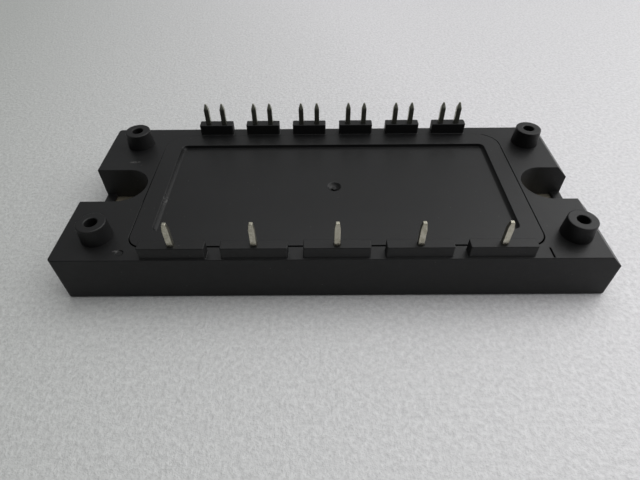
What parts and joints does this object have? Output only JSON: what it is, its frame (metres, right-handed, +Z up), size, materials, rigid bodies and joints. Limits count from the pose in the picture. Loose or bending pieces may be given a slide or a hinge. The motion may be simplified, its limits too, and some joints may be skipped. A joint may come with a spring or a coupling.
{
  "type": "igbt module",
  "caption": "Flat black power transistor module with rows of upright solder terminals, screw posts for a circuit board and a metal base for a heatsink.",
  "frame": {"origin": "middle of the base plate's underside, where the module meets the heatsink", "axes": "+X along the length towards the bevelled end, +Y towards the signal terminals, +Z up towards the circuit board"},
  "size_m": [0.1076, 0.045, 0.0187],
  "materials": {
    "moulding": "fine moulded black",
    "lid_moulding": "fine moulded black",
    "plate_metal": "nickel-plated copper",
    "tinned_pin": "tinned",
    "adhesive": "cured silicone",
    "gel": "clear soft gel",
    "ribbon_metal": "bright",
    "solder": "dull solder",
    "copper": "bare copper",
    "ceramic": "white alumina ceramic",
    "silicon": "metallised silicon"
  },
  "bodies": {
    "root": {"case": "moulding", "lid": "lid_moulding", "base_plate": "plate_metal", "adhesive_bead": "adhesive", "gel": "gel", "bus_ribbons": "ribbon_metal", "power_pin_plus": "tinned_pin", "power_pin_u": "tinned_pin", "power_pin_v": "tinned_pin", "power_pin_w": "tinned_pin", "power_pin_minus": "tinned_pin", "gate_pin_u_high": "tinned_pin", "gate_pin_u_low": "tinned_pin", "gate_pin_v_high": "tinned_pin", "gate_pin_v_low": "tinned_pin", "gate_pin_w_high": "tinned_pin", "gate_pin_w_low": "tinned_pin", "emitter_pin_u_high": "tinned_pin", "emitter_pin_u_low": "tinned_pin", "emitter_pin_v_high": "tinned_pin", "emitter_pin_v_low": "tinned_pin", "emitter_pin_w_high": "tinned_pin", "emitter_pin_w_low": "tinned_pin", "solder_u": "solder", "solder_v": "solder", "solder_w": "solder", "lower_copper_u": "copper", "lower_copper_v": "copper", "lower_copper_w": "copper", "ceramic_u": "ceramic", "ceramic_v": "ceramic", "ceramic_w": "ceramic", "tracks_u": "copper", "tracks_v": "copper", "tracks_w": "copper", "transistor_u_high": "silicon", "transistor_u_low": "silicon", "transistor_v_high": "silicon", "transistor_v_low": "silicon", "transistor_w_high": "silicon", "transistor_w_low": "silicon", "diode_u_high": "silicon", "diode_u_low": "silicon", "diode_v_high": "silicon", "diode_v_low": "silicon", "diode_w_high": "silicon", "diode_w_low": "silicon", "ribbons_u": "ribbon_metal", "ribbons_v": "ribbon_metal", "ribbons_w": "ribbon_metal"}
  },
  "joints": []
}
